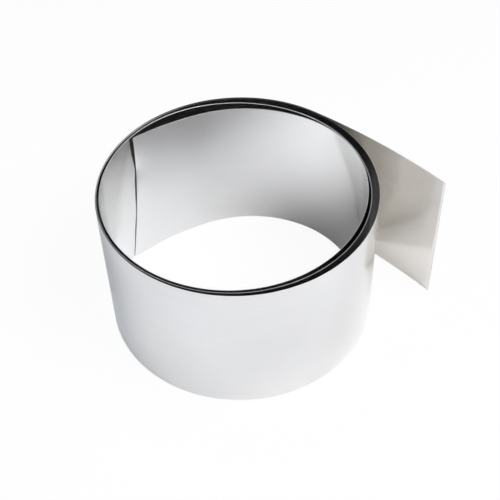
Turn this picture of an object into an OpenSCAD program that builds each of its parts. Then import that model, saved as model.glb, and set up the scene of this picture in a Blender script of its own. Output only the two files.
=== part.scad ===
// Coil of nickel silver foil: one long thin strip, wound about three and a
// quarter times into a loose open coil that stands on its lower edge, with its
// outer end running off as a tail. Seen from above, the strip winds clockwise
// from the free end inside the coil to the end of the tail. Lengths are in mm.

/* [Strip] */
// Width of the strip, which is the height of the standing coil
strip_width = 100; // [80:1:120]
// Thickness of the strip
strip_thickness = 0.3; // [0.2:0.05:0.35]

/* [Coil] */
// Radius of the coil over its outer turn
coil_radius = 87; // [80:1:110]

/* [Ends] */
// How far the shear cut leans back at the top corner of the inner end
cut_lean = 13.7; // [8:0.1:18]
// Length of the tail that runs off from the back of the coil
tail_length = 104; // [60:1:300]
// Bend radius of the tail, which keeps only a slight set from the coil
tail_radius = 440; // [300:10:1000]

/* [Hidden] */
// Every bend is a radius, in hundredths of the coil's own radius, and the angle
// in degrees that it turns through. They follow each other from the inner end out.

// The inner end starts close to the wall behind it, springs flat across the upper
// left of the coil, and swings out to the front
inner_turn = [[184, 22], [91.3, 50.4], [81, 60], [98.9, 60], [91.4, 60], [96, 90]];
// The middle turn nears the inner one at the back right and is open elsewhere
middle_turn = [[89.7, 45], [100, 45], [94.8, 90], [96, 90], [97.7, 90]];
// The outer turn is nearly round
outer_turn = [[99.4, 270], [100.2, 95]];
// The last stretch hugs the back of the outer turn before the tail leaves it
back_wrap = [[99.3, 93]];

// Place and stance of the inner end: its distance from the coil's axis, again in
// hundredths of the coil's radius, its angle about that axis, and how far it turns
// in from a circle
inner_end_distance = 95.9;
inner_end_azimuth = 154.4;
inner_end_angle = 21;
quarter = 90;

hundredth = coil_radius / 100;
tail = [tail_radius, tail_length / tail_radius * 180 / PI];
bends = concat(
    [for (bend = concat(inner_turn, middle_turn, outer_turn, back_wrap)) [bend[0] * hundredth, bend[1]]],
    [tail]
);

// A place on the strip is its x, its y and the heading that the strip runs in.
// A clockwise bend turns about a centre on the right of the heading.
function bend_centre(place, radius) =
    [place[0] + radius * sin(place[2]), place[1] - radius * cos(place[2])];
function place_along(place, radius, angle) =
    let (centre = bend_centre(place, radius), heading = place[2] - angle)
    [centre[0] - radius * sin(heading), centre[1] + radius * cos(heading), heading];

inner_end = [
    inner_end_distance * hundredth * cos(inner_end_azimuth),
    inner_end_distance * hundredth * sin(inner_end_azimuth),
    inner_end_azimuth - quarter - inner_end_angle
];
function bend_start(i) =
    i == 0 ? inner_end : place_along(bend_start(i - 1), bends[i - 1][0], bends[i - 1][1]);

// The strip's middle line, as places a few degrees apart round every bend
facet_angle = 3;
function steps(bend) = ceil(bend[1] / facet_angle);
middle_line = concat(
    [for (i = [0 : len(bends) - 1])
        let (start = bend_start(i), n = steps(bends[i]))
        for (k = [0 : n - 1]) place_along(start, bends[i][0], bends[i][1] * k / n)],
    [bend_start(len(bends))]
);

// Points at a distance to the left of the middle line, seen along the strip
function beside(distance) =
    [for (p = middle_line) [p[0] - distance * sin(p[2]), p[1] + distance * cos(p[2])]];
function reversed(list) = [for (i = [len(list) - 1 : -1 : 0]) list[i]];
outer_face = beside(strip_thickness / 2);
inner_face = beside(-strip_thickness / 2);

// The frame's origin is under the middle of the box round the standing coil
faces = concat(outer_face, inner_face);
box_low = [min([for (p = faces) p[0]]), min([for (p = faces) p[1]])];
box_high = [max([for (p = faces) p[0]]), max([for (p = faces) p[1]])];
box_middle = (box_low + box_high) / 2;

// The shear cut is a shallow arc that leans back over the strip's width. It
// trims a little off the lower corner too, so that the whole end is freshly cut.
cut_radius = (strip_width * strip_width + cut_lean * cut_lean) / (2 * cut_lean);
cut_trim = 1;
cut_steps = 12;
function cut_setback(height) =
    cut_trim + cut_lean - cut_radius + sqrt(pow(cut_radius, 2) - pow(strip_width - height, 2));

// The inner end is cut before it is joined to the rest, after its first bend
lead_steps = steps(inner_turn[0]);

// The strip from one place to another, bent on plan and as high as it is wide
module bent_wall(first, last) {
    stretch = [for (i = [first : last]) i];
    linear_extrude(height = strip_width)
        polygon(concat([for (i = stretch) outer_face[i]], [for (i = reversed(stretch)) inner_face[i]]));
}

// The waste that the shear cut takes off the inner end
module inner_end_waste() {
    reach = 15;
    margin = 5;
    rise = (strip_width + 2 * margin) / cut_steps;
    heights = [for (k = [0 : cut_steps]) k * rise - margin];
    translate([inner_end[0], inner_end[1], 0])
        rotate([quarter, 0, inner_end[2]])
            linear_extrude(height = 2 * reach, center = true)
                polygon(concat(
                    [for (height = heights) [cut_setback(height), height]],
                    [[-reach, strip_width + margin], [-reach, -margin]]
                ));
}

module foil_strip() {
    color([0.78, 0.77, 0.74])
        translate([-box_middle[0], -box_middle[1], 0])
            union() {
                difference() {
                    bent_wall(0, lead_steps);
                    inner_end_waste();
                }
                bent_wall(lead_steps, len(middle_line) - 1);
            }
}

foil_strip();
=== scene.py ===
"""A loose open coil of thin bright nickel silver strip, standing on its edge on a white floor."""

import math

import bpy
import numpy as np
from mathutils import Matrix, Vector


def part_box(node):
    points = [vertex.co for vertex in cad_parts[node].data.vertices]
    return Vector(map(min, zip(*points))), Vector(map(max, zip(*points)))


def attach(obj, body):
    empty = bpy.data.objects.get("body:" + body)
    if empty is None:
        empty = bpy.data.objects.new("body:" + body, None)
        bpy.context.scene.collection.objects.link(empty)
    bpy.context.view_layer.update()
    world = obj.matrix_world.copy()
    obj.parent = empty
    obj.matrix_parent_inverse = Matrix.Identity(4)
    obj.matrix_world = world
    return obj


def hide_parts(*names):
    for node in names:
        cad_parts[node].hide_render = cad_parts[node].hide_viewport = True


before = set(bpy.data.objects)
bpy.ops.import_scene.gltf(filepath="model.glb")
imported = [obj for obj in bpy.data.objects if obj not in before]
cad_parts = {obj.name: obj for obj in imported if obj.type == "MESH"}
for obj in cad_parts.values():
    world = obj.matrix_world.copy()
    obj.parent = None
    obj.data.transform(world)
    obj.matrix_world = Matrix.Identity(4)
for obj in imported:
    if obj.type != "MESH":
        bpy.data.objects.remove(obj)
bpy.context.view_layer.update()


# The strip
# One long thin strip of nickel silver, rolled bright and slit to width, wound
# clockwise about three and a quarter times. It stands on its lower slit edge.
# The inner end was sheared off at a slant, and the outer end is cut square.
strip_width = 0.100
strip_thickness = 0.0003
coil_radius = 0.087
tail_length = 0.104
tail_radius = 0.440
inner_turn = ((184, 22), (91.3, 50.4), (81, 60), (98.9, 60), (91.4, 60), (96, 90))
middle_turn = ((89.7, 45), (100, 45), (94.8, 90), (96, 90), (97.7, 90))
outer_turn = ((99.4, 270), (100.2, 95))
back_wrap = ((99.3, 93),)
inner_end_distance = 0.959 * coil_radius
inner_end_azimuth = math.radians(154.4)
inner_end_angle = math.radians(21)
cut_lean = 0.0137
cut_trim = 0.001
inner_corner = 0.0002
outer_corner = 0.00004
end_lean = 0.0045
end_lean_reach = 0.13
press_reach = 0.004
pull_back = 0.65

# Each bend is a radius in hundredths of the coil's and the degrees that it turns
bends = np.array(inner_turn + middle_turn + outer_turn + back_wrap)
bend_radii = np.append(bends[:, 0] / 100 * coil_radius, tail_radius)
bend_angles = np.append(np.radians(bends[:, 1]), tail_length / tail_radius)
bend_starts = np.concatenate([[0], np.cumsum(bend_radii * bend_angles)])
headings = inner_end_azimuth - math.pi / 2 - inner_end_angle
headings = headings - np.concatenate([[0], np.cumsum(bend_angles)])
chords = 2 * bend_radii * np.sin(bend_angles / 2)
chord_headings = headings[:-1] - bend_angles / 2
corners = np.stack([chords * np.cos(chord_headings), chords * np.sin(chord_headings)], axis=1)
inner_end = np.array([math.cos(inner_end_azimuth), math.sin(inner_end_azimuth)]) * inner_end_distance
corners = inner_end + np.concatenate([[[0, 0]], np.cumsum(corners, axis=0)])
strip_length = bend_starts[-1]


def middle_line(length):
    """Place and heading on the strip's middle line at each length from the inner end.

    Within a bend of radius r, a length l past its start turns the heading by l / r, and the place
    lies a chord of 2 r sin(l / 2r) away, in the direction halfway between the two headings.
    """
    bend = np.clip(np.searchsorted(bend_starts, length, side="right") - 1, 0, len(bend_radii) - 1)
    turned = (length - bend_starts[bend]) / bend_radii[bend]
    chord = 2 * bend_radii[bend] * np.sin(turned / 2)
    towards = headings[bend] - turned / 2
    x = corners[bend, 0] + chord * np.cos(towards)
    y = corners[bend, 1] + chord * np.sin(towards)
    return x, y, headings[bend] - turned


def cut_setback(heights):
    """Length along the strip of the shear cut at each height: a shallow arc that starts near the
    lower corner and ends upright, cut_lean further on, at the top.
    """
    cut_radius = (strip_width**2 + cut_lean**2) / (2 * cut_lean)
    return cut_trim + cut_lean - cut_radius + np.sqrt(cut_radius**2 - (strip_width - heights) ** 2)


def edge_press(heights):
    """How far the sheared edge springs back against the turn behind it at each height. The top
    corner stands clear, and below it the edge waves: it closes up at three heights.
    """
    deepest = 0.0011
    clear_height = 0.082
    clear_fade = 0.004
    waves = ((0.071, 0.006, 0.0005), (0.036, 0.009, 0.00045), (0.009, 0.007, 0.00015))
    press = deepest / (1 + np.exp((heights - clear_height) / clear_fade))
    for middle, half_height, depth in waves:
        press = press + depth * np.exp(-(((heights - middle) / half_height) ** 2))
    return press


def strip_section():
    """Distance from the middle line and height, round the strip's cross-section: two flat
    faces with a row every few millimetres, and slit edges whose corners are quarter circles.
    The knife rounded the corner on the coil's inside and left the outer one nearly sharp.
    """
    half = strip_thickness / 2
    edge_row = 0.0004
    first_row = 0.0025
    face_rows = 36
    corner_points = 5
    turn = np.linspace(0, math.pi / 2, corner_points)
    rows = np.linspace(first_row, strip_width - first_row, face_rows)
    rows = np.concatenate([[edge_row], rows, [strip_width - edge_row]])
    across, heights = [], []
    for corner in (outer_corner, inner_corner):
        low = corner - corner * np.cos(turn)
        rounded = half - corner + corner * np.sin(turn)
        heights.append(np.concatenate([low, rows, strip_width - low[::-1]]))
        across.append(np.concatenate([rounded, np.full(len(rows), half), rounded[::-1]]))
    return np.concatenate([across[0], -across[1][::-1]]), np.concatenate([heights[0], heights[1][::-1]])


def make_strip():
    """The section carried along the middle line. Near the inner end the columns lean with the
    shear cut, and the strip leans out towards its top as the 3/2 power of the way still left to
    where it stands upright, as much at each height as the cut has set back there. In the last
    few millimetres the edge presses outwards, and pulls back along the strip as it does.
    """
    fine_stretch = 0.03
    fine_columns = 50
    plain_columns = 760
    fine = fine_stretch * np.linspace(0, 1, fine_columns)[:-1] ** 1.5
    lengths = np.concatenate([fine, np.linspace(fine_stretch, strip_length, plain_columns)])
    across, heights = strip_section()
    press = edge_press(heights)
    lean = (cut_setback(heights) - cut_trim) / cut_lean
    cut = cut_setback(heights) + pull_back * press
    eased = np.clip(1 - lengths / fine_stretch, 0, 1)
    length = lengths[:, None] + eased[:, None] * cut[None, :]
    x, y, heading = middle_line(length)
    out = end_lean * np.clip(1 - length / end_lean_reach, 0, 1) ** 1.5 * lean + across
    out = out + press * np.exp((cut - length) / press_reach)
    x = x - out * np.sin(heading)
    y = y + out * np.cos(heading)
    z = np.broadcast_to(heights, x.shape)
    columns, rows = x.shape

    low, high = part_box("foil_strip")
    x = x - (x.min() + x.max()) / 2 + (low.x + high.x) / 2
    y = y - (y.min() + y.max()) / 2 + (low.y + high.y) / 2

    number = np.arange(columns * rows).reshape(columns, rows)
    following = np.roll(number, -1, axis=1)
    quads = np.stack([number[:-1], number[1:], following[1:], following[:-1]], axis=-1).reshape(-1, 4)
    half = rows // 2
    near, far = np.arange(half - 1), rows - 1 - np.arange(half - 1)
    start, end = number[0], number[-1]
    start_cap = np.stack([start[near], start[near + 1], start[far - 1], start[far]], axis=-1)
    end_cap = np.stack([end[far], end[far - 1], end[near + 1], end[near]], axis=-1)
    faces = np.concatenate([quads, start_cap, end_cap])

    mesh = bpy.data.meshes.new("rolled_strip")
    mesh.from_pydata(np.stack([x, y, z], axis=-1).reshape(-1, 3), [], faces.tolist())
    mesh.polygons.foreach_set("use_smooth", np.arange(len(faces)) < len(quads))
    along = mesh.uv_layers.new(name="along the strip")
    places = np.stack([length, z], axis=-1).reshape(-1, 2)
    along.data.foreach_set("uv", places[faces.reshape(-1)].reshape(-1))

    slit_zone = 0.0003
    corner_heights = z.reshape(-1)[faces]
    slit = corner_heights.max(axis=1) < slit_zone
    slit |= corner_heights.min(axis=1) > strip_width - slit_zone
    slit[len(quads):] = True
    mesh.polygons.foreach_set("material_index", slit.astype(np.int32))
    mesh.update()
    strip = bpy.data.objects.new("rolled_strip", mesh)
    bpy.context.scene.collection.objects.link(strip)
    return strip


def nickel_silver():
    """Bright rolled nickel silver: a soft mirror with a fine and a coarse grain along the strip, which the
    rolls left in its polish. Towards its end the tail's colour is tinted warm: a painted warm reflection,
    standing in for warm light that the tail mirrors.

    Inputs 6 and 7 and output 2 of a Mix node that mixes colours are its two colours and its result.
    """
    dull_metal = (0.765, 0.765, 0.754, 1)
    bright_metal = (0.805, 0.805, 0.793, 1)
    # Painted warm reflection: the tail's colour is tinted warm towards its end, standing in for warm light
    # that it mirrors.
    painted_warm_tint = (1.025, 1.0, 0.97, 1)
    painted_warmth_starts = strip_length - 0.13
    painted_warmth_is_full = strip_length - 0.06
    smoothest, roughest = 0.12, 0.18
    grain_per_metre = ((6, 900), (25, 60))
    material = bpy.data.materials.new("nickel silver")
    material.use_nodes = True
    nodes, links = material.node_tree.nodes, material.node_tree.links
    shader = nodes["Principled BSDF"]
    shader.inputs["Metallic"].default_value = 1
    shader.inputs["Anisotropic"].default_value = 0.4
    shader.inputs["Anisotropic Rotation"].default_value = 0.25
    tangent = nodes.new("ShaderNodeTangent")
    tangent.direction_type = "UV_MAP"
    tangent.uv_map = "along the strip"
    links.new(tangent.outputs["Tangent"], shader.inputs["Tangent"])

    place = nodes.new("ShaderNodeUVMap")
    place.uv_map = "along the strip"
    grain = []
    for grain_along, grain_across in grain_per_metre:
        stretched = nodes.new("ShaderNodeMapping")
        stretched.inputs["Scale"].default_value = (grain_along, grain_across, 1)
        links.new(place.outputs["UV"], stretched.inputs["Vector"])
        noise = nodes.new("ShaderNodeTexNoise")
        noise.inputs["Scale"].default_value = 1
        noise.inputs["Detail"].default_value = 3
        links.new(stretched.outputs["Vector"], noise.inputs["Vector"])
        grain.append(noise.outputs["Fac"])
    polish = nodes.new("ShaderNodeMix")
    polish.inputs["Factor"].default_value = 0.5
    links.new(grain[0], polish.inputs["A"])
    links.new(grain[1], polish.inputs["B"])
    spread = nodes.new("ShaderNodeMapRange")
    spread.inputs["From Min"].default_value = 0.3
    spread.inputs["From Max"].default_value = 0.7
    links.new(polish.outputs["Result"], spread.inputs["Value"])
    softness = nodes.new("ShaderNodeMapRange")
    softness.inputs["To Min"].default_value = smoothest
    softness.inputs["To Max"].default_value = roughest
    links.new(spread.outputs["Result"], softness.inputs["Value"])
    links.new(softness.outputs["Result"], shader.inputs["Roughness"])
    tone = nodes.new("ShaderNodeMix")
    tone.data_type = "RGBA"
    tone.inputs[6].default_value = dull_metal
    tone.inputs[7].default_value = bright_metal
    links.new(spread.outputs["Result"], tone.inputs["Factor"])

    # The painted warm reflection is blended in along the tail, by length along the strip.
    parts = nodes.new("ShaderNodeSeparateXYZ")
    links.new(place.outputs["UV"], parts.inputs["Vector"])
    painted_warmth_share = nodes.new("ShaderNodeMapRange")
    painted_warmth_share.inputs["From Min"].default_value = painted_warmth_starts
    painted_warmth_share.inputs["From Max"].default_value = painted_warmth_is_full
    links.new(parts.outputs["X"], painted_warmth_share.inputs["Value"])
    painted_warm_colour = nodes.new("ShaderNodeMix")
    painted_warm_colour.data_type = "RGBA"
    painted_warm_colour.blend_type = "MULTIPLY"
    painted_warm_colour.inputs[7].default_value = painted_warm_tint
    links.new(painted_warmth_share.outputs["Result"], painted_warm_colour.inputs["Factor"])
    links.new(tone.outputs[2], painted_warm_colour.inputs[6])
    links.new(painted_warm_colour.outputs[2], shader.inputs["Base Color"])
    return material


def slit_edge():
    """The edges that the slitter and the shear left: bare and rough, so they catch light. Their colour
    also holds painted highlights and painted shade: bright along most of the strip, and darker over three
    stretches where the rims miss the light. Each pair is a length along the strip and how bright it is
    there.
    """
    # Painted highlights and painted shade on the rims: a high level stands in for an edge that catches the
    # lamps, and a low one for an edge in shade.
    painted_edge_light = (
        (0.01, 0.4), (0.1, 0.45), (0.17, 0.92), (1.04, 0.92), (1.09, 0.12), (1.2, 0.12),
        (1.26, 0.92), (1.55, 0.92), (1.61, 0.12), (1.75, 0.12), (1.8, 0.5),
    )
    material = bpy.data.materials.new("slit edge")
    material.use_nodes = True
    nodes, links = material.node_tree.nodes, material.node_tree.links
    shader = nodes["Principled BSDF"]
    place = nodes.new("ShaderNodeUVMap")
    place.uv_map = "along the strip"
    parts = nodes.new("ShaderNodeSeparateXYZ")
    links.new(place.outputs["UV"], parts.inputs["Vector"])
    share = nodes.new("ShaderNodeMath")
    share.operation = "DIVIDE"
    share.inputs[1].default_value = strip_length
    links.new(parts.outputs["X"], share.inputs[0])
    tone = nodes.new("ShaderNodeValToRGB")
    stops = tone.color_ramp.elements
    for length, level in painted_edge_light:
        stops.new(length / strip_length).color = (level, level, level * 0.99, 1)
    stops.remove(stops[0])
    stops.remove(stops[-1])
    links.new(share.outputs[0], tone.inputs["Fac"])
    links.new(tone.outputs["Color"], shader.inputs["Base Color"])
    shader.inputs["Metallic"].default_value = 1
    shader.inputs["Roughness"].default_value = 0.5
    return material


strip = make_strip()
strip.data.materials.append(nickel_silver())
strip.data.materials.append(slit_edge())
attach(strip, "root")
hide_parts("foil_strip")


# The floor
# A wide white floor, seen as nearly pure white with a trace of the coil's shadow.
# The metal mirrors a small share of the same white, besides the light on the floor.
floor_size = 40.0
seen_white = 0.94
mirrored_white = 0.05


def floor_paint():
    """Matt white, of which the camera sees mostly plain white and mirrors see a little."""
    material = bpy.data.materials.new("white floor")
    material.use_nodes = True
    nodes, links = material.node_tree.nodes, material.node_tree.links
    matt = nodes["Principled BSDF"]
    matt.inputs["Base Color"].default_value = (0.9, 0.9, 0.9, 1)
    matt.inputs["Roughness"].default_value = 1
    white = nodes.new("ShaderNodeEmission")
    rays = nodes.new("ShaderNodeLightPath")
    seen = nodes.new("ShaderNodeMath")
    seen.operation = "ADD"
    links.new(rays.outputs["Is Camera Ray"], seen.inputs[0])
    links.new(rays.outputs["Is Transmission Ray"], seen.inputs[1])
    share = nodes.new("ShaderNodeMath")
    share.operation = "MULTIPLY"
    share.inputs[1].default_value = seen_white
    share.use_clamp = True
    links.new(seen.outputs[0], share.inputs[0])
    mirrored = nodes.new("ShaderNodeMath")
    mirrored.operation = "MULTIPLY"
    mirrored.inputs[1].default_value = mirrored_white
    links.new(rays.outputs["Is Glossy Ray"], mirrored.inputs[0])
    glow = nodes.new("ShaderNodeEmission")
    links.new(mirrored.outputs[0], glow.inputs["Strength"])
    lit = nodes.new("ShaderNodeAddShader")
    links.new(matt.outputs[0], lit.inputs[0])
    links.new(glow.outputs[0], lit.inputs[1])
    mix = nodes.new("ShaderNodeMixShader")
    links.new(share.outputs[0], mix.inputs[0])
    links.new(lit.outputs[0], mix.inputs[1])
    links.new(white.outputs[0], mix.inputs[2])
    links.new(mix.outputs[0], nodes["Material Output"].inputs["Surface"])
    return material


half_floor = floor_size / 2
floor_mesh = bpy.data.meshes.new("floor")
floor_corners = [(-1, -1), (1, -1), (1, 1), (-1, 1)]
floor_mesh.from_pydata([(x * half_floor, y * half_floor, 0) for x, y in floor_corners], [], [(0, 1, 2, 3)])
floor = bpy.data.objects.new("floor", floor_mesh)
bpy.context.scene.collection.objects.link(floor)
floor_mesh.materials.append(floor_paint())


# The light
# A large soft lamp high on the front right, weaker ones high on the right and
# behind, a bluish window low on the left, a little warm light low in front, and
# a faint white dome, which the camera sees as pure white.
def soft_lamp(name, azimuth, elevation, distance, size, power, colour):
    """A square lamp that faces the coil from a direction, in degrees, and a distance."""
    azimuth, elevation = math.radians(azimuth), math.radians(elevation)
    level = math.cos(elevation)
    place = distance * Vector((math.cos(azimuth) * level, math.sin(azimuth) * level, math.sin(elevation)))
    lamp = bpy.data.lights.new(name, "AREA")
    lamp.size = size
    lamp.energy = power
    lamp.color = colour
    lamp_object = bpy.data.objects.new(name, lamp)
    lamp_object.location = place
    lamp_object.rotation_mode = "QUATERNION"
    lamp_object.rotation_quaternion = place.to_track_quat("Z", "Y")
    bpy.context.scene.collection.objects.link(lamp_object)


soft_lamp("key lamp", -42, 55, 1.1, 0.45, 7.05, (0.98, 0.98, 1.0))
soft_lamp("right fill", 0, 60, 1.1, 0.45, 3.4, (0.9, 0.92, 1.0))
soft_lamp("back fill", 120, 66, 1.1, 0.45, 2.5, (0.95, 0.95, 1.0))
soft_lamp("window on the left", 195, 7.5, 1.2, 0.31, 11.0, (0.8, 0.89, 1.0))
soft_lamp("low front fill", -90, 7.5, 1.2, 0.31, 3.4, (1.0, 0.85, 0.74))

dome_light = 0.02
world = bpy.data.worlds.new("studio")
bpy.context.scene.world = world
world.use_nodes = True
dome_nodes, dome_links = world.node_tree.nodes, world.node_tree.links
dome = dome_nodes["Background"]
dome.inputs["Color"].default_value = (1, 1, 1, 1)
dome_rays = dome_nodes.new("ShaderNodeLightPath")
dome_mirrored = dome_nodes.new("ShaderNodeMath")
dome_mirrored.operation = "MULTIPLY_ADD"
dome_mirrored.inputs[1].default_value = mirrored_white
dome_links.new(dome_rays.outputs["Is Glossy Ray"], dome_mirrored.inputs[0])
dome_links.new(dome_rays.outputs["Is Transmission Ray"], dome_mirrored.inputs[2])
dome_seen = dome_nodes.new("ShaderNodeMath")
dome_seen.operation = "ADD"
dome_seen.use_clamp = True
dome_links.new(dome_rays.outputs["Is Camera Ray"], dome_seen.inputs[0])
dome_links.new(dome_mirrored.outputs[0], dome_seen.inputs[1])
dome_level = dome_nodes.new("ShaderNodeMath")
dome_level.operation = "MULTIPLY_ADD"
dome_level.inputs[1].default_value = 1 - dome_light
dome_level.inputs[2].default_value = dome_light
dome_links.new(dome_seen.outputs[0], dome_level.inputs[0])
dome_links.new(dome_level.outputs[0], dome.inputs["Strength"])

# Light that enters a gap between two turns is mirrored many times before it leaves
gap_bounces = 20
bpy.context.scene.cycles.glossy_bounces = gap_bounces
bpy.context.scene.cycles.max_bounces = gap_bounces


# The camera
# It looks down on the coil from the front, a little off level.
camera_elevation = math.radians(47.13)
camera_roll = math.radians(-1.77)
camera_distance = 0.7172
camera_target = Vector((-0.01347, 0.0403, 0))
camera_lens = 72.75

ahead = Vector((0, math.cos(camera_elevation), -math.sin(camera_elevation)))
level = Vector((1, 0, 0))
upright = level.cross(ahead)
right = math.cos(camera_roll) * level + math.sin(camera_roll) * upright
up = -math.sin(camera_roll) * level + math.cos(camera_roll) * upright
place = camera_target - camera_distance * ahead
camera_data = bpy.data.cameras.new("camera")
camera_data.lens = camera_lens
camera_data.sensor_width = 36
camera = bpy.data.objects.new("camera", camera_data)
camera.matrix_world = Matrix((right, up, -ahead)).transposed().to_4x4()
camera.location = place
bpy.context.scene.collection.objects.link(camera)
bpy.context.scene.camera = camera
bpy.context.scene.view_settings.view_transform = "Standard"
